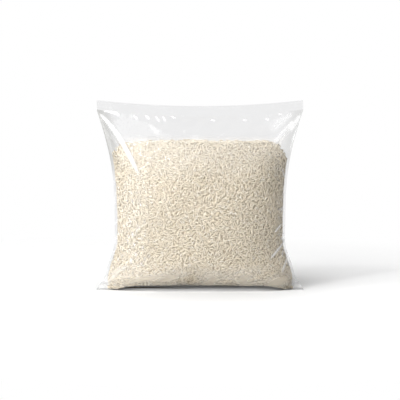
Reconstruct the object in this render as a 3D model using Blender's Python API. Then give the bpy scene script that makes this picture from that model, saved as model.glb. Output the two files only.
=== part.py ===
"""Clear pillow bag of long-grain rice, standing on its own base.

Metres, +Z up, front towards -Y. The origin is on the floor, under the middle of the bag.
The bag is a flat tube of film, welded straight across at the bottom and at the top. Filling it
pulls all four sides in between the corners, so the corners keep the tube's flat width.
The sealed bag is one closed solid out to the outer face of its film.
"""

import bmesh
import bpy
import numpy as np

# The film tube and its two welds
FLAT_WIDTH = 0.250  # the tube lying flat, which is also the length of each weld
SEAL_BAND = 0.0122  # height of a weld
FILM_PAIR = 0.0012  # the two layers of film where they meet, with the air between them

# The standing bag
SEAL_HEIGHT = 0.2095  # floor to the lower line of the top weld, at mid width
SEAL_SAG = 0.0072  # how much lower the top weld hangs at mid width than at its corners
WAIST = 0.2062  # width where the rice pulls the two side edges furthest in
BULGE = 0.0920  # greatest thickness, front to back
BULGE_HEIGHT = 0.066  # floor to that greatest thickness

# How the side edges run out from the waist to the full flat width
TOP_FLARE = (0.146, 0.330, 0.0180)  # height where it starts, slope, rounding
FOOT_SPREAD = (0.060, 0.014, 0.0117)  # from this height down to this one, by this much
EAR_FLARE = (0.0165, 0.620, 0.0010)  # the empty corner of film at each end of the base

# The crease that each side edge keeps outside the rice, as shares of the half width
CREASE_WAIST, CREASE_TOP, CREASE_FOOT = 0.022, 0.085, 0.072

# The base rests on a flat patch at each end and is lifted between the two
PATCH_MIDDLE, PATCH_ENDS = 0.44, 0.86  # base depth as a share of the bag's depth there
ROLL_MIDDLE, ROLL_ENDS = 0.042, 0.020  # height over which the lower edge rolls up
ARCH = 0.0062  # how far the middle of the base is off the floor
ARCH_ENDS = (0.074, 0.1045)  # distances from mid width where the lift starts to fall, and is gone

# Pulled folds that fan out from each top corner of the film: how far down the side edge each
# one ends, where across the half width it ends, its height and its half width
CORNER_FOLDS = (
    (0.112, 0.62, 0.0017, 0.0100),
    (0.080, 0.82, 0.0010, 0.0075),
)

# Broad unevenness of the filled panels: height of the waves, and waves across and up
UNEVEN = ((0.0009, 1.3, 0.8), (0.0007, 2.1, 1.7), (0.0005, 3.2, 2.3))
UNEVEN_SEED = 5

# Mesh density
BODY_COLUMNS = 54  # across the filled part, for each of the two panels
CREASE_COLUMNS = 3  # across each side crease
ROWS = 36  # from the floor to the lower line of the top weld
BAND_ROWS = 2


def soft_ramp(x, rounding):
    """Zero below 0 and x above it, with the corner rounded off."""
    return rounding * np.logaddexp(0.0, x / rounding)


def smooth_step(x, low, high):
    """0 below low, 1 above high and a smooth curve between them."""
    t = np.clip((x - low) / (high - low), 0.0, 1.0)
    return t * t * (3 - 2 * t)


def half_width(level):
    """Half the bag's width at a level: the waist, flaring to the welds above and below it."""
    start, slope, rounding = TOP_FLARE
    flare = slope * soft_ramp(level - start, rounding)
    high, low, spread = FOOT_SPREAD
    flare = flare + spread * smooth_step(-level, -high, -low)
    start, slope, rounding = EAR_FLARE
    flare = flare + slope * soft_ramp(start - level, rounding)
    return np.minimum(WAIST / 2 + flare, FLAT_WIDTH / 2)


def half_depth(level):
    """Half the bag's thickness at mid width: round over the rice, then straight to the weld."""
    rise = np.clip((level - BULGE_HEIGHT) / (SEAL_HEIGHT - BULGE_HEIGHT), 0.0, 1.0)
    upper = (1 - rise**2.5) ** 0.80
    drop = np.clip((BULGE_HEIGHT - level) / BULGE_HEIGHT, 0.0, 1.0)
    lower = 1 - 0.07 * drop**2
    return BULGE / 2 * np.where(level > BULGE_HEIGHT, upper, lower)


def crease_share(level):
    """Share of the half width, at its outer end, where the film lies flat on itself."""
    top = smooth_step(level, 0.75 * SEAL_HEIGHT, SEAL_HEIGHT)
    foot = smooth_step(-level, -EAR_FLARE[0], 0.0)
    return CREASE_WAIST + CREASE_TOP * top + CREASE_FOOT * foot


def panel_outline(across, level):
    """Depth of a panel as a share of its depth at mid width. across is 0 there, 1 at the crease."""
    top = smooth_step(level, 0.62 * SEAL_HEIGHT, SEAL_HEIGHT)
    foot = smooth_step(-level, -0.040, 0.0)
    power = 2.35 - 0.25 * top + 1.45 * foot
    ends = 0.56 + 0.62 * top + 0.30 * foot
    return (1 - np.minimum(across, 1.0) ** power) ** ends


def foot_roll(across, level):
    """Share of its depth that a panel has near the floor: a quarter ellipse from the base."""
    middle = (1 - np.minimum(across, 1.0) ** 2) ** 1.5
    patch = PATCH_ENDS + (PATCH_MIDDLE - PATCH_ENDS) * middle
    height = ROLL_ENDS + (ROLL_MIDDLE - ROLL_ENDS) * middle
    left = 1 - np.clip(level / height, 0.0, 1.0)
    return patch + (1 - patch) * np.sqrt(np.clip(1 - left**2.3, 0.0, 1.0))


def base_lift(x, level):
    """How far a point is raised by the arch of the base, which fades out up the panels."""
    across = 1 - smooth_step(np.abs(x), *ARCH_ENDS)
    return ARCH * across**0.6 * (1 - smooth_step(level, 0.0, 0.060))


def corner_folds(x, z):
    """Height of the folds that run down from the two top corners, drawn tight by the weld."""
    corner_x, corner_z = FLAT_WIDTH / 2, SEAL_HEIGHT + SEAL_SAG
    height = np.zeros_like(x)
    for reach, across, ridge, spread in CORNER_FOLDS:
        run_x, run_z = across * WAIST / 2 - corner_x, -reach
        length = np.hypot(run_x, run_z)
        away_x, away_z = np.abs(x) - corner_x, z - corner_z
        along = (away_x * run_x + away_z * run_z) / length**2
        aside = (away_x * run_z - away_z * run_x) / length
        fade = np.sin(np.pi * np.clip(along, 0.0, 1.0)) ** 1.5
        height += ridge * fade * np.exp(-((aside / spread) ** 2))
    return height


def unevenness(x, z, side):
    """Broad shallow waves, with their own seeded phases on each of the two panels."""
    phases = np.random.default_rng(UNEVEN_SEED + side).uniform(0, 2 * np.pi, (len(UNEVEN), 2))
    height = np.zeros_like(x)
    for (ridge, across, up), (phase_x, phase_z) in zip(UNEVEN, phases):
        wave_x = np.cos(2 * np.pi * across * x / FLAT_WIDTH + phase_x)
        wave_z = np.cos(2 * np.pi * up * z / SEAL_HEIGHT + phase_z)
        height += ridge * wave_x * wave_z
    return height


def columns():
    """Places across one panel, as (share of the way to the crease, share of the crease)."""
    turn = np.linspace(-np.pi / 2, np.pi / 2, BODY_COLUMNS + 1)
    body = 0.55 * np.sin(turn) + 0.45 * turn / (np.pi / 2)
    crease = np.linspace(0, 1, CREASE_COLUMNS + 1)[1:]
    to_crease = np.concatenate([-np.ones(CREASE_COLUMNS), body, np.ones(CREASE_COLUMNS)])
    in_crease = np.concatenate([crease[::-1], np.zeros(BODY_COLUMNS + 1), crease])
    return to_crease, in_crease


def levels():
    """Heights of the rows at mid width, closer together at the floor and under the weld."""
    share = np.linspace(0, 1, ROWS + 1)
    return SEAL_HEIGHT * (share - 0.85 * np.sin(2 * np.pi * share) / (2 * np.pi))


def panel_row(level, side):
    """Points of one row across a panel, left to right. side is 0 in front and 1 at the back."""
    to_crease, in_crease = columns()
    width, crease = half_width(level), crease_share(level)
    share = np.abs(to_crease) * (1 - crease) + crease * in_crease
    x = np.sign(to_crease) * width * share
    across = np.abs(to_crease)
    depth = half_depth(level) * panel_outline(across, level) * foot_roll(across, level)
    sag = SEAL_SAG * smooth_step(level, 0.35 * SEAL_HEIGHT, SEAL_HEIGHT)
    z = level + sag * (x / width) ** 2
    filled = smooth_step(depth, 0.0, 0.030)
    depth = depth + (corner_folds(x, z) + unevenness(x, z, side)) * filled
    depth = np.maximum(depth, FILM_PAIR / 2)
    return np.stack([x, depth if side else -depth, z + base_lift(x, level)], axis=1)


def ring(level):
    """A closed ring of points: along the front from left to right, and back along the rear."""
    return np.concatenate([panel_row(level, 0), panel_row(level, 1)[::-1]])


def foot_band_rings():
    """The bottom weld, folded forward to lie flat under the bag.

    Only its two ends show, past the rice at the bottom corners.
    """
    flat = ring(0.0)
    front = slice(0, len(flat) // 2)
    flat[:, 0] *= FLAT_WIDTH / 2 / flat[:, 0].max()
    flat[front, 1] = np.minimum(flat[front, 1], -SEAL_BAND)
    return [flat, flat + [0.0, 0.0, FILM_PAIR / 2]]


def top_band_rings():
    """The top weld: two layers of film welded flat, following the sag of the weld line."""
    rise = SEAL_BAND * np.linspace(0, 1, BAND_ROWS + 1)[1:]
    return [ring(SEAL_HEIGHT) + [0.0, 0.0, up] for up in rise]


def bag_rings():
    """Every ring from the floor to the top edge of the weld, centred front to back."""
    rings = foot_band_rings() + [ring(level) for level in levels()[1:]] + top_band_rings()
    rings = np.array(rings)
    rings[:, :, 1] -= (rings[:, :, 1].min() + rings[:, :, 1].max()) / 2
    return rings


def skin(mesh, rings):
    """Joins the rings with quads and closes the bottom and the top across the two panels."""
    verts = [[mesh.verts.new(point) for point in points] for points in rings]
    count = len(verts[0])
    for lower, upper in zip(verts, verts[1:]):
        for i in range(count):
            j = (i + 1) % count
            mesh.faces.new((lower[i], lower[j], upper[j], upper[i]))
    for cap, upwards in ((verts[0], False), (verts[-1], True)):
        for i in range(count // 2 - 1):
            quad = (cap[i], cap[i + 1], cap[count - 2 - i], cap[count - 1 - i])
            mesh.faces.new(quad if upwards else quad[::-1])


def film_material():
    """Clear film over pale rice, as one plain colour."""
    material = bpy.data.materials.new("film_over_rice")
    material.use_nodes = True
    shader = material.node_tree.nodes["Principled BSDF"]
    shader.inputs["Base Color"].default_value = (0.78, 0.71, 0.58, 1.0)
    shader.inputs["Roughness"].default_value = 0.18
    shader.inputs["Metallic"].default_value = 0.0
    return material


def sealed_bag():
    """The whole bag as one object."""
    mesh = bmesh.new()
    skin(mesh, bag_rings())
    bmesh.ops.recalc_face_normals(mesh, faces=mesh.faces)
    data = bpy.data.meshes.new("rice_bag")
    mesh.to_mesh(data)
    mesh.free()
    data.shade_smooth()
    data.set_sharp_from_angle(angle=np.radians(50))
    bag = bpy.data.objects.new("rice_bag", data)
    bag.data.materials.append(film_material())
    bpy.context.scene.collection.objects.link(bag)


def main():
    for obj in list(bpy.data.objects):
        bpy.data.objects.remove(obj)
    sealed_bag()


main()
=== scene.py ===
import math

import bpy
import numpy as np
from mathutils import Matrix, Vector


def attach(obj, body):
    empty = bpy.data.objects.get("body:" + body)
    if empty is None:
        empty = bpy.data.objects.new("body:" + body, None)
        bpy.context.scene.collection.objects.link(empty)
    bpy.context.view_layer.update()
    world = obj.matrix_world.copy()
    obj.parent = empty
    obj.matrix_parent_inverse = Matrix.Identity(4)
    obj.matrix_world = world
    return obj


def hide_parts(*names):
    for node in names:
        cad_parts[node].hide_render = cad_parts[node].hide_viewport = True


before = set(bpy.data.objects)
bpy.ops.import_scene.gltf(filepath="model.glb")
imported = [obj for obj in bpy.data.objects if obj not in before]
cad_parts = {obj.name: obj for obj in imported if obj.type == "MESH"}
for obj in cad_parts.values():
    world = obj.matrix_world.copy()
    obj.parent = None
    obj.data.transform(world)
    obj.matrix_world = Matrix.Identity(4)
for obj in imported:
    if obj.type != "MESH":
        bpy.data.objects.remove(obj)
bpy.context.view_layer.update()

bagNode = "rice_bag"


bagShape = {
    "flatWidth": 0.250,  # the film tube lying flat
    "sealBand": 0.0122,
    "pairGap": 0.0006,  # two layers of film where they meet
    "sealHeight": 0.2095,  # floor to the lower line of the top weld, at mid width
    "sealSag": 0.0072,
    "waist": 0.2062,
    "bulge": 0.0920,
    "bulgeHeight": 0.066,
    "topFlare": (0.146, 0.330, 0.0180),  # start height, slope, rounding
    "footSpread": (0.060, 0.014, 0.0117),  # from this height, down to this one, by this much
    "earFlare": (0.0165, 0.620, 0.0010),
    "crease": (0.022, 0.085, 0.072),  # waist, top and foot, as shares of the half width
    "patch": (0.44, 0.86),  # base depth at mid width and at the ends
    "roll": (0.042, 0.020),  # height of the rolled lower edge
    "arch": 0.0062,
    "archEnds": (0.074, 0.1045),
    # broad folds from the top corners: fall, end as a share of the half waist, height, half width
    "folds": ((0.112, 0.62, 0.0017, 0.0100), (0.080, 0.82, 0.0010, 0.0075)),
    "uneven": ((0.0009, 1.3, 0.8), (0.0007, 2.1, 1.7), (0.0005, 3.2, 2.3)),  # height, waves across and up
    "unevenSeed": 5,
}


# x above zero with its corner rounded off: rounding times log(1 + exp(x / rounding))
def softRamp(x, rounding):
    return rounding * np.logaddexp(0.0, x / rounding)


# 0 below low, 1 above high, and 3t squared minus 2t cubed between them
def smoothStep(x, low, high):
    t = np.clip((x - low) / (high - low), 0.0, 1.0)
    return t * t * (3 - 2 * t)


# a smooth step up from low to rise, times one down from fall to high
def band(x, low, rise, fall, high):
    return smoothStep(x, low, rise) * (1 - smoothStep(x, fall, high))


# waist plus a soft ramp towards the top weld, a smooth step at the foot and a ramp at the ears
def halfWidth(level):
    s = bagShape
    start, slope, rounding = s["topFlare"]
    flare = slope * softRamp(level - start, rounding)
    high, low, spread = s["footSpread"]
    flare = flare + spread * smoothStep(-level, -high, -low)
    start, slope, rounding = s["earFlare"]
    flare = flare + slope * softRamp(start - level, rounding)
    return np.minimum(s["waist"] / 2 + flare, s["flatWidth"] / 2)


# a power curve from the bulge up to the weld, and a slight parabola down to the floor
def halfDepth(level):
    s = bagShape
    rise = np.clip((level - s["bulgeHeight"]) / (s["sealHeight"] - s["bulgeHeight"]), 0.0, 1.0)
    drop = np.clip((s["bulgeHeight"] - level) / s["bulgeHeight"], 0.0, 1.0)
    share = np.where(rise > 0, (1 - rise**2.5) ** 0.80, 1 - 0.07 * drop**2)
    return s["bulge"] / 2 * share


# share of the half width taken by the flat crease at its outer end
def creaseShare(level):
    waist, atTop, atFoot = bagShape["crease"]
    top = smoothStep(level, 0.75 * bagShape["sealHeight"], bagShape["sealHeight"])
    foot = smoothStep(-level, -bagShape["earFlare"][0], 0.0)
    return waist + atTop * top + atFoot * foot


# superellipse outline of a panel: (1 - across to a power) to a power, both changing with height
def panelOutline(across, level):
    top = smoothStep(level, 0.62 * bagShape["sealHeight"], bagShape["sealHeight"])
    foot = smoothStep(-level, -0.040, 0.0)
    power = 2.35 - 0.25 * top + 1.45 * foot
    ends = 0.56 + 0.62 * top + 0.30 * foot
    return (1 - np.minimum(across, 1.0) ** power) ** ends


# quarter ellipse that rolls the lower edge in to the flat base
def footRoll(across, level):
    middle = (1 - np.minimum(across, 1.0) ** 2) ** 1.5
    patch = bagShape["patch"][1] + (bagShape["patch"][0] - bagShape["patch"][1]) * middle
    height = bagShape["roll"][1] + (bagShape["roll"][0] - bagShape["roll"][1]) * middle
    left = 1 - np.clip(level / height, 0.0, 1.0)
    return patch + (1 - patch) * np.sqrt(np.clip(1 - left**2.3, 0.0, 1.0))


# the arch under the middle of the base, fading out up the panels
def baseLift(x, level):
    across = 1 - smoothStep(np.abs(x), *bagShape["archEnds"])
    return bagShape["arch"] * across**0.6 * (1 - smoothStep(level, 0.0, 0.060))


# broad folds from both top corners: a sine along each line times a bell across it
def cornerFolds(x, z):
    cornerX = bagShape["flatWidth"] / 2
    cornerZ = bagShape["sealHeight"] + bagShape["sealSag"]
    height = np.zeros_like(x)
    for reach, across, ridge, spread in bagShape["folds"]:
        runX, runZ = across * bagShape["waist"] / 2 - cornerX, -reach
        length = math.hypot(runX, runZ)
        awayX, awayZ = np.abs(x) - cornerX, z - cornerZ
        along = np.clip((awayX * runX + awayZ * runZ) / length**2, 0.0, 1.0)
        aside = (awayX * runZ - awayZ * runX) / length
        height += ridge * np.sin(np.pi * along) ** 1.5 * np.exp(-((aside / spread) ** 2))
    return height


# broad shallow waves: products of a cosine across and a cosine up, with seeded phases
def unevenness(x, z, side):
    waves = bagShape["uneven"]
    pull = np.random.default_rng(bagShape["unevenSeed"] + side)
    phases = pull.uniform(0, 2 * np.pi, (len(waves), 2))
    height = np.zeros_like(x)
    for (ridge, across, up), (phaseX, phaseZ) in zip(waves, phases):
        waveX = np.cos(2 * np.pi * across * x / bagShape["flatWidth"] + phaseX)
        waveZ = np.cos(2 * np.pi * up * z / bagShape["sealHeight"] + phaseZ)
        height += ridge * waveX * waveZ
    return height


# one panel as x, depth and z: half width times the place across, outline times roll, sagging rows
def panelSurface(toCrease, inCrease, level, side):
    sealHeight, sealSag = bagShape["sealHeight"], bagShape["sealSag"]
    width, crease = halfWidth(level), creaseShare(level)
    across = np.abs(toCrease)
    x = np.sign(toCrease) * width * (across * (1 - crease) + crease * inCrease)
    depth = halfDepth(level) * panelOutline(across, level) * footRoll(across, level)
    sag = sealSag * smoothStep(level, 0.35 * sealHeight, sealHeight)
    z = level + sag * (x / width) ** 2
    filled = smoothStep(depth, 0.0, 0.030)
    depth = depth + (cornerFolds(x, z) + unevenness(x, z, side)) * filled
    return x, depth, z + baseLift(x, level)


# half the difference of the two greatest depths, which centres the bag front to back
def depthShift():
    across = np.linspace(-1, 1, 55)[None, :]
    level = np.linspace(0.02, 0.15, 140)[:, None]
    front = panelSurface(across, np.zeros_like(across), level, 0)[1].max()
    back = panelSurface(across, np.zeros_like(across), level, 1)[1].max()
    return (front - back) / 2


yShift = depthShift()


# a mesh from whole arrays of points and equal-sided faces
def meshPiece(name, points, faces, materials, smooth=True):
    mesh = bpy.data.meshes.new(name)
    corners = faces.shape[1]
    mesh.vertices.add(len(points))
    mesh.vertices.foreach_set("co", np.ascontiguousarray(points, np.float32).ravel())
    mesh.loops.add(faces.size)
    mesh.loops.foreach_set("vertex_index", np.ascontiguousarray(faces, np.int32).ravel())
    mesh.polygons.add(len(faces))
    mesh.polygons.foreach_set("loop_start", np.arange(0, faces.size, corners, dtype=np.int32))
    mesh.polygons.foreach_set("use_smooth", np.full(len(faces), smooth))
    mesh.update(calc_edges=True)
    mesh.validate()
    for material in materials:
        mesh.materials.append(material)
    piece = bpy.data.objects.new(name, mesh)
    bpy.context.scene.collection.objects.link(piece)
    return piece


# a float for each point, which a material reads by name
def addAttribute(piece, name, values):
    attribute = piece.data.attributes.new(name, "FLOAT", "POINT")
    attribute.data.foreach_set("value", np.ascontiguousarray(values, np.float32).ravel())


# the piece rides on the bag's one body and stands for its solid, which is hidden
def standIn(piece):
    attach(piece, "root")
    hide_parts(bagNode)


# quads between the rings of a closed skin, and quads across its two ends
def ringFaces(rows, count):
    i = np.arange(count)
    lower = np.arange(rows - 1)[:, None] * count
    a, b = lower + i, lower + (i + 1) % count
    sides = np.stack([a, b, b + count, a + count], axis=-1).reshape(-1, 4)
    k = np.arange(count // 2 - 1)
    cap = np.stack([k, k + 1, count - 2 - k, count - 1 - k], axis=-1)
    return np.concatenate([sides, cap[:, ::-1], cap + (rows - 1) * count])


# a new node material: an input given as a socket is linked, and any other is set as its value
class Nodes:
    def __init__(self, name):
        self.material = bpy.data.materials.new(name)
        self.material.use_nodes = True
        self.tree = self.material.node_tree
        self.tree.nodes.clear()

    # one node with its settings and inputs
    def add(self, kind, inputs=None, **settings):
        node = self.tree.nodes.new("ShaderNode" + kind)
        for key, value in settings.items():
            setattr(node, key, value)
        for key, value in (inputs or {}).items():
            if isinstance(value, bpy.types.NodeSocket):
                self.tree.links.new(value, node.inputs[key])
            else:
                node.inputs[key].default_value = value
        return node

    # one value from up to three: a sum, a product, a power or a product plus a third
    def math(self, operation, *values, clamp=False):
        return self.add("Math", dict(enumerate(values)), operation=operation, use_clamp=clamp).outputs[0]

    # a value carried from one range to another in a straight line, or as a smooth step
    def ramp(self, value, fromRange=(0.0, 1.0), toRange=(0.0, 1.0), smooth=False):
        ends = {"From Min": fromRange[0], "From Max": fromRange[1]}
        ranges = {**ends, "To Min": toRange[0], "To Max": toRange[1]}
        kind = "SMOOTHSTEP" if smooth else "LINEAR"
        return self.add("MapRange", {"Value": value, **ranges}, interpolation_type=kind).outputs[0]

    # (1 - factor) times the first colour plus factor times the second
    def blend(self, factor, first, second):
        return self.add("Mix", {0: factor, 6: first, 7: second}, data_type="RGBA").outputs[2]

    # a mask held by the points of the piece
    def mask(self, name):
        return self.add("Attribute", attribute_name=name).outputs["Fac"]

    # a surface normal tilted by a height
    def bump(self, height, strength, distance, normal=None):
        inputs = {"Height": height, "Strength": strength, "Distance": distance}
        if normal is not None:
            inputs["Normal"] = normal
        return self.add("Bump", inputs).outputs[0]

    # joins the surface to the material's output
    def finish(self, surface):
        self.add("OutputMaterial", {"Surface": surface})
        return self.material


# fine mottling from 0 to 1: contrast times (broad noise plus fine noise minus 1), plus a half
def mottleGroup():
    group = bpy.data.node_groups.new("fineMottle", "ShaderNodeTree")
    face = group.interface
    face.new_socket("Vector", in_out="INPUT", socket_type="NodeSocketVector")
    for name, value in (("Scale", 300.0), ("Fine", 4.0), ("Contrast", 1.4)):
        face.new_socket(name, in_out="INPUT", socket_type="NodeSocketFloat").default_value = value
    face.new_socket("Value", in_out="OUTPUT", socket_type="NodeSocketFloat")
    nodes, links = group.nodes, group.links
    into, out = nodes.new("NodeGroupInput"), nodes.new("NodeGroupOutput")

    def math(operation, *values):
        node = nodes.new("ShaderNodeMath")
        node.operation = operation
        for socket, value in zip(node.inputs, values):
            if isinstance(value, bpy.types.NodeSocket):
                links.new(value, socket)
            else:
                socket.default_value = value
        return node

    fine = math("MULTIPLY", into.outputs["Scale"], into.outputs["Fine"])
    noises = []
    for scale in (into.outputs["Scale"], fine.outputs[0]):
        noise = nodes.new("ShaderNodeTexNoise")
        links.new(into.outputs["Vector"], noise.inputs["Vector"])
        links.new(scale, noise.inputs["Scale"])
        noise.inputs["Detail"].default_value = 2.0
        noises.append(noise.outputs["Fac"])
    both = math("ADD", *noises)
    offset = math("MULTIPLY_ADD", into.outputs["Contrast"], -1.0, 0.5)
    spread = math("MULTIPLY_ADD", both.outputs[0], into.outputs["Contrast"], offset.outputs[0])
    spread.use_clamp = True
    links.new(spread.outputs[0], out.inputs["Value"])
    return group


mottle = mottleGroup()


# the mottling group placed in a material, at the given scale, share of fine grain and contrast
def addMottle(nodes, vector, scale, fine, contrast):
    inputs = {"Vector": vector, "Scale": scale, "Fine": fine, "Contrast": contrast}
    return nodes.add("Group", inputs, node_tree=mottle).outputs["Value"]


filmLook = {
    "mirror": (0.014, 1.0),  # share of light mirrored face on, and at a grazing angle
    "mirrorPower": 5.0,
    "tint": (0.925, 0.925, 0.927, 1.0),
    "roughness": 0.10,
    "stretch": 0.55,  # height of the crinkles' pattern against its width
    "crinkleNoise": {"Scale": 42.0, "Detail": 3.0, "Roughness": 0.45, "Distortion": 0.6},
    "crinkle": (0.55, 0.0005),  # strength and height of the bump
    "pressNoise": (330.0, 2.2, 1.6),  # scale, fine share and contrast of the grains pressed into the film
    "press": (1.0, 0.00011),
    "ribNoise": {"Scale": 260.0, "Distortion": 0.4, "Detail": 1.0},
    "rib": (0.5, 0.0002),
    "haze": 0.035,
    "hazeFrom": (0.35, 1.1),  # height of the crinkles at which the haze is least and most
    "hazeShare": (0.25, 2.0),
    "white": (0.95, 0.95, 0.95, 1.0),
    "fogTint": (0.86, 0.80, 0.69, 1.0),
    "fog": 0.36,
    "shade": (0.79, 0.79, 0.78, 1.0),
}


# clear film: light goes straight through, less of it where shade is painted, a milky share of it
# scatters, with painted highlights along the creases and in streaks, and over both lies a mirror whose
# share grows with the fifth power of the turn away from face on
def filmMaterial(name, look, welded):
    nodes = Nodes(name)
    where = nodes.add("TexCoord").outputs["Object"]
    stretched = nodes.add("Mapping", {"Scale": (1.0, 1.0, look["stretch"]), "Vector": where}).outputs[0]
    crinkle = nodes.add("TexNoise", {**look["crinkleNoise"], "Vector": stretched},
                        noise_type="RIDGED_MULTIFRACTAL").outputs[0]
    normal = nodes.bump(crinkle, *look["crinkle"])
    pressed = nodes.math("MULTIPLY", addMottle(nodes, where, *look["pressNoise"]), nodes.mask("overRice"))
    normal = nodes.bump(pressed, *look["press"], normal)
    if welded:
        ribs = nodes.add("TexWave", {**look["ribNoise"], "Vector": where},
                         wave_type="BANDS", bands_direction="Z", wave_profile="SIN")
        normal = nodes.bump(ribs.outputs["Fac"], *look["rib"], normal)
    hazeRange = [share * look["haze"] for share in look["hazeShare"]]
    haze = nodes.ramp(crinkle, look["hazeFrom"], hazeRange)
    fog = nodes.mask("fog")
    # painted highlight: the mask read here adds white scatter along creases and in streaks
    hazeAndHighlight = nodes.math("ADD", haze, nodes.mask("milkAndHighlight"))
    hazeAndHighlight = nodes.math("ADD", hazeAndHighlight, nodes.math("MULTIPLY", fog, look["fog"]), clamp=True)
    scatter = nodes.add("BsdfDiffuse", {"Color": nodes.blend(fog, look["white"], look["fogTint"]),
                                        "Normal": normal})
    # painted shade: where the shade mask is set, the film lets less light through
    tint = nodes.blend(nodes.mask("shade"), look["tint"], look["shade"])
    clear = nodes.add("BsdfTransparent", {"Color": tint})
    body = nodes.add("MixShader", {0: hazeAndHighlight, 1: clear.outputs[0], 2: scatter.outputs[0]})
    facing = nodes.add("LayerWeight", {"Blend": 0.5, "Normal": normal}).outputs["Facing"]
    mirror = nodes.ramp(nodes.math("POWER", facing, look["mirrorPower"]), toRange=look["mirror"])
    shine = {"Color": (1, 1, 1, 1), "Roughness": look["roughness"], "Normal": normal}
    gloss = nodes.add("BsdfGlossy", shine)
    surface = nodes.add("MixShader", {0: mirror, 1: body.outputs[0], 2: gloss.outputs[0]})
    return nodes.finish(surface.outputs[0])


grainLook = {
    "pale": (0.95, 0.88, 0.745, 1.0),
    "deep": (0.85, 0.745, 0.57, 1.0),
    "flankShadeColour": (0.62, 0.53, 0.395, 1.0),
    "chalk": (0.93, 0.91, 0.86, 1.0),
    "mottle": (900.0, 3.0, 1.3),
    "mottleShare": 0.35,
    "roughness": (0.45, 0.65),
    "bump": (0.25, 0.0001),
    "specular": 0.15,
}


# a rice grain: cream by its own tone plus a share of mottling, chalky in the middle of some grains,
# and with painted shade along the flanks, where grains touch
def grainMaterial(look):
    nodes = Nodes("rice_grain")
    where = nodes.add("TexCoord").outputs["Object"]
    fine = addMottle(nodes, where, *look["mottle"])
    tone = nodes.math("MULTIPLY_ADD", fine, look["mottleShare"], nodes.mask("grainTone"))
    colour = nodes.blend(tone, look["deep"], look["pale"])
    colour = nodes.blend(nodes.mask("grainChalk"), colour, look["chalk"])
    # painted shade: the flanks are darker, standing for the shade between grains
    colour = nodes.blend(nodes.mask("grainFlankShade"), colour, look["flankShadeColour"])
    shader = nodes.add("BsdfPrincipled", {
        "Specular IOR Level": look["specular"],
        "Base Color": colour,
        "Roughness": nodes.ramp(fine, toRange=look["roughness"]),
        "Normal": nodes.bump(fine, *look["bump"]),
    })
    return nodes.finish(shader.outputs[0])


coreLook = {
    "dark": (0.56, 0.475, 0.35, 1.0),
    "pale": (0.80, 0.72, 0.58, 1.0),
    "cells": 330.0,  # grain-sized cells to the metre
    "cellEdge": (0.15, 0.75),  # distances from a cell's middle where its rounded side starts and ends
    "mottle": (420.0, 3.0, 1.5),
    "roughness": (0.5, 0.75),
    "bump": (0.8, 0.0012),
}


# rice below the shown grains: cream cells with painted shade towards their edges and in the gaps,
# by the distance to each cell's middle
def coreMaterial(look):
    nodes = Nodes("rice_core")
    where = nodes.add("TexCoord").outputs["Object"]
    spots = {"Scale": look["cells"], "Randomness": 1.0, "Vector": where}
    cells = nodes.add("TexVoronoi", spots, feature="F1")
    fine = addMottle(nodes, where, *look["mottle"])
    height = nodes.ramp(cells.outputs["Distance"], look["cellEdge"], (1.0, 0.0))
    pale = nodes.math("MULTIPLY", height, fine, clamp=True)
    shader = nodes.add("BsdfPrincipled", {
        # painted shade: the dark colour fills the gaps and the rounded sides of the cells
        "Base Color": nodes.blend(pale, look["dark"], look["pale"]),
        "Roughness": nodes.ramp(fine, toRange=look["roughness"]),
        "Normal": nodes.bump(height, *look["bump"]),
    })
    return nodes.finish(shader.outputs[0])


clearFilm = filmMaterial("clear_film", filmLook, False)
weldedFilm = filmMaterial("welded_film", dict(filmLook, haze=0.05, roughness=0.16), True)
riceGrain = grainMaterial(grainLook)
riceCore = coreMaterial(coreLook)
print("materials made")


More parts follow.
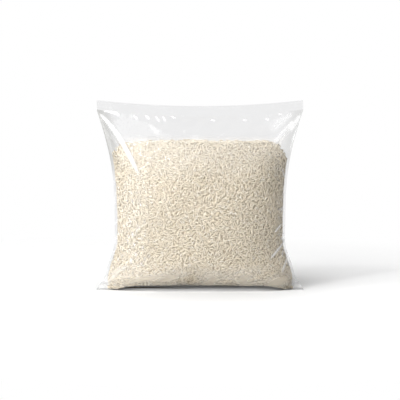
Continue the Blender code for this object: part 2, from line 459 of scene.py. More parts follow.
filmMesh = {
    "bodyColumns": 200,
    "bodyEase": 0.45,  # how far the columns crowd towards both edges, and the rows towards both welds
    "creaseColumns": 9,
    "baseRows": 8,
    "baseStart": 0.02,  # share of the base's depth where its first row lies
    "wallRows": 176,
    "wallEase": 0.55,
    "bandRows": 9,
    # swelling at the band's foot, how fast it ends, swelling at its top, and where that starts
    "beadRows": (0.7, 9.0, 0.5, 0.97),
    "offFloor": 0.0002,
    "riceLine": (0.177, 0.185),  # heights between which the film leaves the rice
    "riceDepth": (0.001, 0.006),
    "creaseWiden": (0.45, 0.75),  # a crease's width at its start, and what is added by its end
    "creaseFade": (0.14, 0.58),  # shares of its length where it is full, and where it starts to fade
    "highlightFrom": (0.03, 0.90),  # nearness to a crease at which its painted highlight starts and is full
    # pulled creases: start x z, bend x z, end x z, height, half width, painted highlight, side (0 front, 1
    # back)
    "creases": (
        (-0.1238, 0.2150, -0.0934, 0.1887, -0.0640, 0.1220, 0.0022, 0.0031, 0.80, 0),
        (-0.1225, 0.2135, -0.1100, 0.1800, -0.1010, 0.1500, 0.0010, 0.0020, 0.15, 0),
        (-0.1180, 0.2155, -0.1020, 0.2150, -0.0945, 0.2085, 0.0012, 0.0018, 0.80, 0),
        (-0.0805, 0.2115, -0.0775, 0.2085, -0.0750, 0.2050, 0.0008, 0.0013, 0.62, 0),
        (-0.0665, 0.2105, -0.0630, 0.2080, -0.0595, 0.2050, 0.0008, 0.0014, 0.62, 0),
        (-0.0540, 0.2100, -0.0510, 0.2060, -0.0475, 0.2020, 0.0008, 0.0014, 0.42, 0),
        (-0.0455, 0.2100, -0.0430, 0.2060, -0.0400, 0.2020, 0.0008, 0.0013, 0.42, 0),
        (-0.0620, 0.2010, -0.0540, 0.1940, -0.0470, 0.1870, 0.0006, 0.0032, 0.16, 0),
        (-0.0350, 0.2095, -0.0320, 0.2080, -0.0290, 0.2065, 0.0006, 0.0011, 0.52, 0),
        (0.0120, 0.2050, 0.0155, 0.2046, 0.0190, 0.2040, 0.0005, 0.0010, 0.60, 0),
        (0.0510, 0.2050, 0.0540, 0.2048, 0.0570, 0.2044, 0.0005, 0.0010, 0.50, 0),
        (0.0780, 0.2065, 0.0805, 0.2060, 0.0835, 0.2050, 0.0005, 0.0011, 0.55, 0),
        (0.0945, 0.2120, 0.0970, 0.2116, 0.1000, 0.2110, 0.0005, 0.0010, 0.55, 0),
        (0.1130, 0.2135, 0.0960, 0.2040, 0.0790, 0.1880, 0.0005, 0.0058, 0.24, 0),
        (0.1140, 0.2050, 0.1000, 0.1900, 0.0830, 0.1690, 0.0006, 0.0036, 0.50, 0),
        (0.1225, 0.2120, 0.1140, 0.2020, 0.1050, 0.1860, 0.0006, 0.0030, 0.45, 0),
        (0.1215, 0.2050, 0.1160, 0.1900, 0.1090, 0.1720, 0.0009, 0.0018, 0.50, 0),
        (0.1230, 0.2090, 0.1160, 0.1850, 0.1060, 0.1500, 0.0010, 0.0018, 0.20, 0),
        (0.1040, 0.0610, 0.0940, 0.0490, 0.0800, 0.0360, 0.0013, 0.0017, 0.60, 0),
        (0.1090, 0.0500, 0.1040, 0.0330, 0.0960, 0.0180, 0.0011, 0.0016, 0.50, 0),
        (0.1060, 0.0600, 0.1080, 0.0380, 0.1130, 0.0160, 0.0010, 0.0015, 0.50, 0),
        (0.0985, 0.0800, 0.0940, 0.0760, 0.0880, 0.0690, 0.0010, 0.0014, 0.60, 0),
        (0.0960, 0.0640, 0.1000, 0.0610, 0.1040, 0.0560, 0.0009, 0.0013, 0.60, 0),
        (0.1010, 0.0995, 0.0970, 0.0975, 0.0915, 0.0990, 0.0008, 0.0014, 0.40, 0),
        (0.0985, 0.1480, 0.1010, 0.1410, 0.1030, 0.1340, 0.0008, 0.0018, 0.45, 0),
        (0.1030, 0.0420, 0.1065, 0.0330, 0.1095, 0.0240, 0.0010, 0.0014, 0.40, 0),
        (-0.1150, 0.0030, -0.1040, 0.0190, -0.0890, 0.0350, 0.0011, 0.0036, 0.22, 0),
        (-0.1110, 0.0180, -0.0980, 0.0220, -0.0840, 0.0330, 0.0009, 0.0022, 0.15, 0),
        (-0.1240, 0.2155, -0.0990, 0.1850, -0.0740, 0.1350, 0.0022, 0.0030, 0.30, 1),
        (-0.1235, 0.2120, -0.1120, 0.1900, -0.0980, 0.1640, 0.0012, 0.0020, 0.20, 1),
        (0.1240, 0.2150, 0.1000, 0.1900, 0.0700, 0.1290, 0.0024, 0.0030, 0.35, 1),
        (0.1235, 0.2120, 0.1140, 0.1870, 0.1030, 0.1530, 0.0012, 0.0020, 0.20, 1),
        (0.1090, 0.0520, 0.1000, 0.0360, 0.0880, 0.0200, 0.0011, 0.0020, 0.30, 1),
        (-0.1090, 0.0520, -0.0990, 0.0340, -0.0860, 0.0180, 0.0011, 0.0020, 0.30, 1),
    ),
    # zones of painted highlight in streaks on the front: low, high, middle, spread, share all over, share
    # in streaks
    "glare": (
        (0.010, 0.150, -0.080, 0.018, 0.09, 0.28),
        (0.020, 0.140, 0.100, 0.006, 0.03, 0.40),
        (0.020, 0.140, -0.102, 0.005, 0.00, 0.18),
    ),
    "glareFade": 0.03,
    # fog in bands: heights where it starts, is full, fades and is gone, share, least and added in patches
    "fog": (
        (0.002, 0.008, 0.016, 0.036, 1.0, 0.60, 0.40),
        (0.128, 0.178, 0.180, 0.187, 0.60, 0.85, 0.15),
    ),
    "fogDepth": (0.002, 0.016),  # depths of the bag between which the fog starts
    # painted shade on the empty flaps: shares of the half width, heights, and share at left and right
    "flapShade": ((0.80, 0.98), (0.130, 0.165), (1.0, 0.45)),
    "hollowShades": (  # patches of painted shade on the front: middle x z, spread x z, share
        (0.082, 0.146, 0.019, 0.026, 0.70),
        (-0.062, 0.168, 0.034, 0.015, 0.32),
    ),
    "footShade": (0.002, 0.010, 0.9),  # heights up the film between which the painted shade at its foot fades, share
    "ears": ((0.004, 0.020), (0.106, 0.116)),  # heights where the foot's ears end, and places across
    "earMilk": 0.30,
    "earShade": (0.35, 0.65),  # share all over, share in streaks
    "slackFrom": (0.150, 0.200),
    "edgeFrom": (0.72, 1.0),
    "looseFrom": (0.0, 0.010),
    "rumple": (0.00045, 0.5, 1.3, 0.6),  # height; shares all over, where slack and at the edges
    # low waves: seed, count, shortest and longest wave
    "skinWaves": (40, 7, 0.012, 0.045),
    "earWaves": (60, 6, 0.006, 0.014),
    "edgeWaves": (61, 6, 0.010, 0.030),
    "bandWaves": (62, 5, 0.03, 0.09),
    "patchWaves": (64, 8, 0.014, 0.070),
    "streakWaves": (66, 9, 0.006, 0.022),
    "patchSquash": 2.2,  # patches of fog are wider than tall, streaks are taller than wide
    "streakSquash": 2.4,
    "streakFrom": (0.2, 1.5),
    "bend": (0.0011, 0.0006, 0.0006),  # height of the waves that both panels share: ears, edges and band
}


# how strongly each point is on a crease: a bell over the distance to a bent line, fading at its ends
def onCrease(x, z, crease):
    x0, z0, x1, z1, x2, z2, _, width = crease[:8]
    t = np.linspace(0, 1, 25)
    lineX = (1 - t) ** 2 * x0 + 2 * t * (1 - t) * x1 + t**2 * x2
    lineZ = (1 - t) ** 2 * z0 + 2 * t * (1 - t) * z1 + t**2 * z2
    best = np.full(x.shape, 1e9)
    along = np.zeros(x.shape)
    for i in range(len(t) - 1):
        runX, runZ = lineX[i + 1] - lineX[i], lineZ[i + 1] - lineZ[i]
        share = np.clip(((x - lineX[i]) * runX + (z - lineZ[i]) * runZ) / (runX**2 + runZ**2), 0, 1)
        gap = np.hypot(x - lineX[i] - share * runX, z - lineZ[i] - share * runZ)
        closer = gap < best
        best = np.where(closer, gap, best)
        along = np.where(closer, t[i] + share * (t[1] - t[0]), along)
    narrow, widen = filmMesh["creaseWiden"]
    full, fading = filmMesh["creaseFade"]
    spread = width * (narrow + widen * along)
    return band(along, 0.0, full, fading, 1.0) * np.exp(-((best / spread) ** 2))


pleats = {
    "seed": 21,
    "count": 44,
    "height": 0.0011,
    "span": 0.122,
    "width": (0.0009, 0.0028),
    "reach": (0.004, 0.017),
    "lean": 0.5,
    "opening": (60.0, 0.02),  # how fast a pleat widens downwards, and how far down it does
    "start": (-0.0005, 0.003),
    "own": 0.5,  # share of the height that bends one panel, and share that bends both as a pair
    "shared": 0.8,
    "sharedSeed": 7,
}


# short upright pleats hanging from the top weld: bells across, fading downwards as a bell too
def pleatHeight(x, below, seed):
    s = pleats
    pull = np.random.default_rng(s["seed"] + seed)
    opening, openTo = s["opening"]
    height = np.zeros_like(x)
    for centre in np.sort(pull.uniform(-s["span"], s["span"], s["count"])):
        width, reach = pull.uniform(*s["width"]), pull.uniform(*s["reach"])
        lean, ridge = pull.uniform(-s["lean"], s["lean"]), pull.uniform(-1, 1) * s["height"]
        across = (x - centre - lean * below) / (width * (1 + opening * np.clip(below, 0, openTo)))
        fade = np.exp(-((below / reach) ** 2)) * smoothStep(below, *s["start"])
        height += ridge * fade * np.exp(-(across**2))
    return height


# low rumple of a film that isn't stretched: a few crossed cosines with seeded directions, waves
# and phases, over the root of their count
def rumple(x, z, waves, shift=0):
    seed, count, low, high = waves
    pull = np.random.default_rng(seed + shift)
    height = np.zeros_like(x)
    for _ in range(count):
        turn, wave, phase = pull.uniform(0, np.pi), pull.uniform(low, high), pull.uniform(0, 6.28)
        height += np.cos(2 * np.pi * (x * np.cos(turn) + z * np.sin(turn)) / wave + phase)
    return height / math.sqrt(count)


# column places across a panel as (share of the way to the crease, share of the crease): between the
# creases a sine and a straight run mixed, in a crease an even run
def filmColumns():
    ease = filmMesh["bodyEase"]
    turn = np.linspace(-np.pi / 2, np.pi / 2, filmMesh["bodyColumns"] + 1)
    body = ease * np.sin(turn) + (1 - ease) * turn / (np.pi / 2)
    crease = np.linspace(0, 1, filmMesh["creaseColumns"] + 1)[1:]
    ones = np.ones(filmMesh["creaseColumns"])
    toCrease = np.concatenate([-ones, body, ones])
    inCrease = np.concatenate([crease[::-1], np.zeros(len(body)), crease])
    return toCrease[None, :], inCrease[None, :]


# relief of one panel: rumple, more where the film is slack and at its edges, plus its own pleats,
# plus each pulled crease; with the painted highlight of the creases, the greatest where two cross
def panelRelief(x, z, level, below, side):
    s = filmMesh
    height, allOver, whereSlack, atEdge = s["rumple"]
    slack = smoothStep(z, *s["slackFrom"])
    edge = smoothStep(np.abs(x) / halfWidth(level), *s["edgeFrom"])
    relief = rumple(x, z, s["skinWaves"], side) * height * (allOver + whereSlack * slack + atEdge * edge)
    relief = relief + pleats["own"] * pleatHeight(x, below, side)
    milkAndHighlight = np.zeros_like(x)
    for crease in s["creases"]:
        if crease[-1] == side:
            near = onCrease(x, z, crease)
            relief = relief + crease[6] * near
            milkAndHighlight = np.maximum(milkAndHighlight, crease[8] * smoothStep(near, *s["highlightFrom"]))
    return relief, milkAndHighlight


# masks of one panel. Painted highlight: creases plus streaked zones of glare, and milky ears. Fog: the
# greater of its bands. Painted shade: the greatest of the flaps, the hollows, the ears and the foot
def panelMasks(x, z, depth, level, side, ears, milkAndHighlight):
    s = filmMesh
    patches = rumple(x, s["patchSquash"] * z, s["patchWaves"], side)
    streaks = smoothStep(rumple(s["streakSquash"] * x, z, s["streakWaves"], side), *s["streakFrom"])
    for low, high, middle, spread, allOver, inStreaks in s["glare"]:
        zone = np.exp(-(((x - middle) / spread) ** 2)) * (1 - side)
        zone = zone * band(z, low, low + s["glareFade"], high - s["glareFade"], high)
        milkAndHighlight = milkAndHighlight + zone * (allOver + inStreaks * streaks)
    fog = np.zeros_like(x)
    for low, rise, fall, high, share, least, added in s["fog"]:
        haze = band(z, low, rise, fall, high) * smoothStep(depth, *s["fogDepth"])
        fog = np.maximum(fog, share * haze * np.clip(least + added * patches, 0, 1))
    across, heights, (atLeft, atRight) = s["flapShade"]
    shade = smoothStep(np.abs(x) / halfWidth(z), *across) * smoothStep(z, *heights)
    shade = shade * np.where(x < 0, atLeft, atRight)
    for middleX, middleZ, spreadX, spreadZ, share in s["hollowShades"]:
        hollowShade = share * np.exp(-(((x - middleX) / spreadX) ** 2) - ((z - middleZ) / spreadZ) ** 2)
        shade = np.maximum(shade, hollowShade * (1 - side))
    allOver, inStreaks = s["earShade"]
    shade = np.maximum(shade, ears * (allOver + inStreaks * streaks))
    dark, clear, share = s["footShade"]
    shade = np.maximum(shade, share * (1 - smoothStep(level, dark, clear)) * (1 - ears))
    return np.maximum(milkAndHighlight, s["earMilk"] * ears), fog, shade


# one panel of film as rows of x, y, z and three masks: from the seam under the base out to the
# base's edge, up the wall to the weld, and up the welded band
def filmPanel(side):
    s = filmMesh
    toward = 1 if side else -1
    halfGap = bagShape["pairGap"] / 2
    toCrease, inCrease = filmColumns()
    share = np.linspace(0, 1, s["wallRows"] + 1)[:, None]
    level = bagShape["sealHeight"] * (share - s["wallEase"] * np.sin(2 * np.pi * share) / (2 * np.pi))
    x, depth, z = panelSurface(toCrease, inCrease, level, side)
    below = bagShape["sealHeight"] - level + 0 * x
    loose = smoothStep(depth, *s["looseFrom"])
    relief, milkAndHighlight = panelRelief(x, z, level, below, side)
    depth = np.maximum(depth + relief * loose, halfGap)
    # what both panels share near the weld, the creases and the ears: the pair bends as one
    (earLow, earHigh), earAcross = s["ears"]
    ears = smoothStep(-z, -earHigh, -earLow) * smoothStep(np.abs(x), *earAcross)
    flatEdge = smoothStep(inCrease + 0 * x, 0.0, 0.6)
    earBend, edgeBend, bandBend = s["bend"]
    both = pleats["shared"] * pleatHeight(x, below, pleats["sharedSeed"]) * smoothStep(-below, -0.020, 0.0)
    both = both + earBend * rumple(x, z, s["earWaves"]) * ears * smoothStep(z, 0.0, earLow)
    both = both + edgeBend * rumple(x, z, s["edgeWaves"]) * flatEdge * (1 - ears)
    y = depth * toward + both
    # base rows run in to the seam, band rows run up to the top edge
    inner = np.linspace(s["baseStart"], 1, s["baseRows"] + 1)[:-1, None]
    baseX, baseZ = x[0] + 0 * inner, z[0] + 0 * inner + s["offFloor"]
    baseY = np.maximum(depth[0] * inner, halfGap) * toward
    up = np.linspace(0, 1, s["bandRows"] + 1)[1:, None]
    bandX, bandZ = x[-1] + 0 * up, z[-1] + bagShape["sealBand"] * up
    bow = bandBend * rumple(bandX, bandZ, s["bandWaves"]) * up
    footSwell, footFade, topSwell, topFrom = s["beadRows"]
    bead = halfGap * (1 + footSwell * np.exp(-((up * footFade) ** 2)) + topSwell * (up > topFrom))
    bandY = both[-1] * (1 - up) + bow + bead * toward
    z = z + s["offFloor"]
    masks = panelMasks(x, z, depth, level, side, ears, milkAndHighlight)
    rows = [
        np.concatenate([baseX, x, bandX]),
        np.concatenate([baseY, y, bandY]) + yShift,
        np.maximum(np.concatenate([baseZ, z, bandZ]), s["offFloor"]),
    ]
    rows += [np.concatenate([0 * baseX, mask, 0 * bandX]) for mask in masks]
    return np.stack(rows, axis=-1)


# both panels as one closed skin of rings, with the band's faces in the welded film
def makeFilm():
    front, back = filmPanel(0), filmPanel(1)
    rings = np.concatenate([front, back[:, ::-1]], axis=1)
    rings, masks = rings[..., :3], rings[..., 3:]
    rows, count = rings.shape[:2]
    faces = ringFaces(rows, count)
    film = meshPiece("film_bag", rings.reshape(-1, 3), faces, [clearFilm, weldedFilm])
    for i, name in enumerate(("milkAndHighlight", "fog", "shade")):
        addAttribute(film, name, masks[..., i])
    ringOf = faces[:, 0] // count
    slots = (ringOf >= filmMesh["baseRows"] + filmMesh["wallRows"]).astype(np.int32)
    film.data.polygons.foreach_set("material_index", slots)
    low, high = filmMesh["riceLine"]
    below = smoothStep(-rings[..., 2], -high, -low)
    addAttribute(film, "overRice", below * smoothStep(np.abs(rings[..., 1]), *filmMesh["riceDepth"]))
    standIn(film)


makeFilm()
print("film made")

footWeld = {
    "length": 0.250,
    "width": 0.0122,
    "thick": 0.0006,
    "columns": 200,
    "rows": 8,
    "waves": (63, 6, 0.008, 0.020),
    "wave": (0.00035, 2.2, 0.0009),  # height, evening out and most of the waves
    "waveFrom": (0.108, 0.114),
    "underBase": 0.0008,
}


# the lower weld, folded forward under the bag: a thin strip that follows the base's arch, with waves
# at both ends
def makeFootWeld():
    s = footWeld
    x = np.linspace(-s["length"] / 2, s["length"] / 2, s["columns"] + 1)[None, :]
    v = np.linspace(0, 1, s["rows"] + 1)[:, None]
    x, y = x + 0 * v, -s["width"] * v + 0 * x
    height, even, most = s["wave"]
    wave = height * (1 + rumple(x, y, s["waves"]) / even)
    lift = np.maximum(baseLift(x, 0.0) - s["underBase"], 0.0)
    lift = lift + np.clip(wave, 0, most) * smoothStep(np.abs(x), *s["waveFrom"])
    lower = np.stack([x, y, lift], axis=-1)
    upper = lower + [0.0, 0.0, s["thick"]]
    rings = np.concatenate([lower, upper[:, ::-1]], axis=1)
    rings[..., 1] += yShift
    faces = ringFaces(len(rings), rings.shape[1])
    weld = meshPiece("film_foot_weld", rings.reshape(-1, 3), faces, [weldedFilm])
    addAttribute(weld, "overRice", np.zeros(rings.shape[:2]))
    standIn(weld)


makeFootWeld()
print("foot weld made")


rice = {
    "top": 0.1792,  # floor to the top of the rice
    "shoulder": (0.064, 0.104, 0.0130, 0.0200),  # falls between these x, by this at left and at right
    "seed": 12,
    "length": (0.0056, 0.0068),
    "width": (0.00142, 0.00162),
    "flat": 0.84,  # thickness as a share of the width
    "cover": (0.80, 0.62),  # area of grains over area of wall, for one layer
    "layers": (0.0009, 0.0019),  # inset of each layer's centres from the film
    "bend": 0.035,
    "flankShade": (-0.80, 0.30),  # how far a side faces inwards where its painted shade starts and is full
    "swirl": (1.3, 0.014, 0.045, 0.70),  # turns of the lie of the grains, its wave lengths, own spread
    "settle": 26,
    "grain": {  # five-sided rings: places along the length, radii, and how far off the axis the tips lie
        "sides": 5,
        "places": (-0.34, 0.02, 0.36),
        "radii": (0.80, 1.0, 0.74),
        "tips": (0.1, -0.05),
    },
    "roll": 0.5,
    "tone": (0.52, 0.18),
    "chalky": (0.16, 0.35, 0.9),  # share of the grains, and how chalky those are at least and at most
    "waves": (0.0007, 0.017, 1.0, 0.0005, 0.0071, 0.02),
    "push": (0.32, 1.6, 0.8, 0.4),  # share of the overlap, evening out, share of the twist, largest twist
    "perCell": 6,
    "tilt": 0.22,
    "patchDepth": 0.110,
    "ringColumns": 640,
    "wallRows": 150,
    "baseInner": 0.40,  # share of the base's depth where the wall's grains start
    "baseRows": 8,
}


# height of the rice: level, falling off as a fourth power at both ends, with low waves
def riceTop(x, y):
    low, high, left, right = rice["shoulder"]
    drop = np.where(x < 0, left, right)
    first, long, phase, second, short, deep = rice["waves"]
    waves = first * np.cos(x / long + phase) + second * np.cos(x / short + y / deep)
    return rice["top"] - drop * np.clip((np.abs(x) - low) / (high - low), 0.0, 1.0) ** 4 + waves


# the filled wall as rings of even arc length, left end, front, right end, back: first the outer
# part of the base, from its inner share outwards, then the panels from the floor up
def riceWall():
    level = np.linspace(0.0004, rice["top"] + 0.012, rice["wallRows"])[:, None]
    inner = np.linspace(rice["baseInner"], 1, rice["baseRows"] + 1)[:-1, None]
    turn = np.linspace(-np.pi / 2, np.pi / 2, 241)
    across = (0.6 * np.sin(turn) + 0.4 * turn / (np.pi / 2))[None, :]
    rows = []
    for side in (0, 1):
        x, depth, z = panelSurface(across, np.zeros_like(across), level, side)
        depth = np.concatenate([depth[:1] * inner, depth])
        x, z = (np.concatenate([values[:1] + 0 * inner, values]) for values in (x, z))
        y = np.maximum(depth, 0.0002) * (1 if side else -1) + yShift
        rows.append(np.stack([x, y, z], axis=-1))
    rings = np.concatenate([rows[0][:, :-1], rows[1][:, :0:-1]], axis=1)
    closed = np.concatenate([rings, rings[:, :1]], axis=1)
    step = np.linalg.norm(np.diff(closed, axis=1), axis=2)
    arc = np.concatenate([np.zeros((len(step), 1)), np.cumsum(step, axis=1)], axis=1)
    even = np.linspace(0, 1, rice["ringColumns"], endpoint=False)
    grid = np.empty((len(closed), len(even), 3))
    for i in range(len(closed)):
        for k in range(3):
            grid[i, :, k] = np.interp(even * arc[i, -1], arc[i], closed[i, :, k])
    up = np.linalg.norm(np.diff(grid, axis=0), axis=2).mean(axis=1)
    height = np.concatenate([[0.0], np.cumsum(up)])
    alongS = np.roll(grid, -1, axis=1) - np.roll(grid, 1, axis=1)
    alongT = np.gradient(grid, axis=0)
    normal = np.cross(alongS, alongT)
    normal /= np.linalg.norm(normal, axis=2, keepdims=True)
    return {"grid": grid, "normal": normal, "height": height, "girth": arc[:, -1].max()}


# reads the wall between its rows and columns: the four nearest points, weighted by nearness
def readWall(wall, s, t, inset):
    rows, columns = wall["grid"].shape[:2]
    i = np.clip(np.interp(t, wall["height"], np.arange(rows)), 0, rows - 1.001)
    j = (s / wall["girth"] * columns) % columns
    i0, j0 = i.astype(int), j.astype(int) % columns
    fi, fj = (i - i0)[:, None], (j - np.floor(j))[:, None]
    j1 = (j0 + 1) % columns

    def between(values):
        low = values[i0, j0] * (1 - fj) + values[i0, j1] * fj
        high = values[i0 + 1, j0] * (1 - fj) + values[i0 + 1, j1] * fj
        return low * (1 - fi) + high * fi

    normal = between(wall["normal"])
    normal /= np.linalg.norm(normal, axis=1, keepdims=True)
    return between(wall["grid"]) - normal * inset[:, None], normal


# spreads grains over a flat strip: each is three discs in line, and in each round every disc is pushed
# by its overlap with the discs of other grains, which moves and turns its grain
def packGrains(width, height, count, seed, wrap):
    pull = np.random.default_rng(seed)
    columns = max(int(math.sqrt(count * width / height)), 1)
    lines = max(int(round(count / columns)), 1)
    gridX, gridY = np.meshgrid((np.arange(columns) + 0.5) / columns, (np.arange(lines) + 0.5) / lines)
    centre = np.stack([gridX.ravel() * width, gridY.ravel() * height], axis=1)
    centre += pull.uniform(-0.5, 0.5, centre.shape) * [width / columns, height / lines]
    swing, short, long, spread = rice["swirl"]
    turn = swing * rumple(centre[:, 0], centre[:, 1], (seed + 300, 9, short, long))
    turn = turn + pull.normal(0, spread, len(centre))
    size = pull.uniform(0, 1, len(centre))
    radius = rice["width"][0] / 2 * 1.02
    reach = (rice["length"][0] / 2 - radius) * (1 + 0.18 * size)
    cell, most = radius * 2, rice["perCell"]
    share, evenOut, twistShare, twistMost = rice["push"]
    acrossCells, upCells = int(width / cell) if wrap else int(width / cell) + 3, int(height / cell) + 3
    owner = np.repeat(np.arange(len(centre)), 3)
    offsets = np.tile(np.array([-1.0, 0.0, 1.0]), len(centre)) * np.repeat(reach, 3)
    for _ in range(rice["settle"]):
        way = np.stack([np.cos(turn), np.sin(turn)], axis=1)
        discs = centre[owner] + offsets[:, None] * way[owner]
        if wrap:
            cx = (np.floor(discs[:, 0] / width * acrossCells)).astype(int) % acrossCells
        else:
            cx = np.clip((discs[:, 0] / cell).astype(int) + 1, 0, acrossCells - 1)
        cy = np.clip((discs[:, 1] / cell).astype(int) + 1, 0, upCells - 1)
        cells = cy * acrossCells + cx
        order = np.argsort(cells, kind="stable")
        sortedCells = cells[order]
        first = np.searchsorted(sortedCells, np.arange(acrossCells * upCells))
        slot = np.arange(len(order)) - first[sortedCells]
        table = np.full((acrossCells * upCells, most), -1)
        keep = slot < most
        table[sortedCells[keep], slot[keep]] = order[keep]
        push = np.zeros_like(discs)
        for dy in (-1, 0, 1):
            for dx in (-1, 0, 1):
                nx = (cx + dx) % acrossCells if wrap else np.clip(cx + dx, 0, acrossCells - 1)
                ny = np.clip(cy + dy, 0, upCells - 1)
                near = table[ny * acrossCells + nx]
                gap = discs[:, None, :] - discs[near]
                if wrap:
                    gap[..., 0] -= width * np.round(gap[..., 0] / width)
                far = np.linalg.norm(gap, axis=2)
                hits = (near >= 0) & (owner[near] != owner[:, None]) & (far < 2 * radius)
                amount = np.where(hits, (2 * radius - far) / np.maximum(far, 1e-6), 0.0)
                push += (gap * amount[..., None]).sum(axis=1)
        push *= share
        move = np.stack([np.bincount(owner, push[:, k], len(centre)) for k in (0, 1)], axis=1) / evenOut
        lever = offsets * (way[owner, 0] * push[:, 1] - way[owner, 1] * push[:, 0])
        twist = np.bincount(owner, lever, len(centre))
        centre += np.clip(move, -radius, radius)
        turn += np.clip(twist / (2 * reach**2) * twistShare, -twistMost, twistMost)
        if wrap:
            centre[:, 0] %= width
        centre[:, 1] = np.clip(centre[:, 1], 0, height)
    return centre, turn, size


# one grain: rings that taper to two tips, length 1 along x and radius 1
def grainTemplate():
    shape = rice["grain"]
    sides, places, radii = shape["sides"], np.array(shape["places"]), np.array(shape["radii"])
    around = np.arange(sides) * 2 * np.pi / sides
    across, upwards = np.outer(radii, np.cos(around)).ravel(), np.outer(radii, np.sin(around)).ravel()
    rings = np.stack([np.repeat(places, sides), across, upwards], axis=1)
    points = np.concatenate([rings, [[-0.5, 0.0, shape["tips"][0]], [0.5, 0.0, shape["tips"][1]]]])
    i = np.arange(sides)
    j = (i + 1) % sides
    first, last = len(rings), len(rings) + 1
    faces = [
        np.stack([0 * i + first, j, i], axis=1),
        np.stack([0 * i + last, 2 * sides + i, 2 * sides + j], axis=1),
    ]
    for ring in (0, sides):
        faces.append(np.stack([ring + i, ring + j, ring + sides + j], axis=1))
        faces.append(np.stack([ring + i, ring + sides + j, ring + sides + i], axis=1))
    return points, np.concatenate(faces)


# length of a grain from its size: the shortest plus size times the range
def grainLength(size):
    shortest, longest = rice["length"]
    return shortest + (longest - shortest) * size


# many grains as one mesh: each is the template stretched, bent by a parabola, rolled about its length
# and laid along its axis
def grainPoints(middle, axis, normal, size, seed):
    pull = np.random.default_rng(seed)
    points, faces = grainTemplate()
    count = len(middle)
    length = grainLength(size)
    radius = pull.uniform(*rice["width"], count) / 2
    axis = axis / np.linalg.norm(axis, axis=1, keepdims=True)
    side = np.cross(normal, axis)
    side /= np.linalg.norm(side, axis=1, keepdims=True)
    over = np.cross(axis, side)
    roll = pull.uniform(-rice["roll"], rice["roll"], count)
    cosRoll, sinRoll = np.cos(roll)[:, None], np.sin(roll)[:, None]
    side, over = side * cosRoll + over * sinRoll, over * cosRoll - side * sinRoll
    bend = pull.normal(0, rice["bend"], count)
    along = points[None, :, 0] * length[:, None]
    bowed = bend[:, None] * length[:, None] * (1 - 4 * points[None, :, 0] ** 2)
    aside = points[None, :, 1] * radius[:, None] + bowed
    lift = points[None, :, 2] * radius[:, None] * rice["flat"]
    placed = middle[:, None] + along[..., None] * axis[:, None] + aside[..., None] * side[:, None]
    placed = placed + lift[..., None] * over[:, None]
    tone = np.clip(pull.normal(*rice["tone"], count), 0, 1)
    share, least, most = rice["chalky"]
    chalky = (pull.uniform(0, 1, count) < share) * pull.uniform(least, most, count)
    inMiddle = np.clip(1 - 2 * np.abs(points[:, 0]), 0, 1)
    # painted shade on the flanks: how far a point lies towards the underside, after the roll, darker where
    # grains touch
    out = points[None, :, 1] * sinRoll + points[None, :, 2] * cosRoll
    flankShade = smoothStep(-out, *rice["flankShade"])
    allFaces = (faces[None] + (np.arange(count) * len(points))[:, None, None]).reshape(-1, 3)
    chalk = (chalky[:, None] * inMiddle[None]).ravel()
    return placed.reshape(-1, 3), allFaces, np.repeat(tone, len(points)), chalk, flankShade.ravel()


# a piece of grains from their middles, axes, normals and sizes, with three masks
def makeGrains(name, chosen, seed):
    points, faces, tone, chalk, flankShade = grainPoints(*chosen, seed)
    grains = meshPiece(name, points, faces, [riceGrain])
    addAttribute(grains, "grainTone", tone)
    addAttribute(grains, "grainChalk", chalk)
    addAttribute(grains, "grainFlankShade", flankShade)
    standIn(grains)
    print(name, len(chosen[0]), "grains,", len(faces), "triangles")


# grains against the film: both tips of each lie on the inset wall, so a grain is a chord of it
def wallGrains(wall):
    tall = wall["height"][-1]
    area = math.pi / 4 * np.mean(rice["length"]) * np.mean(rice["width"])
    layers = []
    for layer, inset in enumerate(rice["layers"]):
        pull = np.random.default_rng(rice["seed"] + 100 * layer)
        count = int(rice["cover"][layer] * wall["girth"] * tall / area)
        centre, turn, size = packGrains(wall["girth"], tall, count, rice["seed"] + layer, True)
        half = grainLength(size) / 2
        step = np.stack([np.cos(turn), np.sin(turn)], axis=1) * half[:, None]
        tip = inset + pull.uniform(0, 0.0007, (2, len(centre))) * (1 + 1.2 * layer)
        first, firstOut = readWall(wall, centre[:, 0] - step[:, 0], centre[:, 1] - step[:, 1], tip[0])
        last, lastOut = readWall(wall, centre[:, 0] + step[:, 0], centre[:, 1] + step[:, 1], tip[1])
        middle, axis, normal = (first + last) / 2, last - first, firstOut + lastOut
        normal /= np.maximum(np.linalg.norm(normal, axis=1, keepdims=True), 1e-6)
        chord = np.linalg.norm(axis, axis=1)
        size = np.clip((chord - rice["length"][0]) / (rice["length"][1] - rice["length"][0]), -0.6, 1)
        highest = np.maximum(first[:, 2], last[:, 2])
        keep = (highest < riceTop(middle[:, 0], middle[:, 1]) + 0.0012) & (chord > 0.0035)
        keep &= np.minimum(first[:, 2], last[:, 2]) > 0.0008
        layers.append([values[keep] for values in (middle, axis, normal, size)])
    return [np.concatenate(parts) for parts in zip(*layers)]


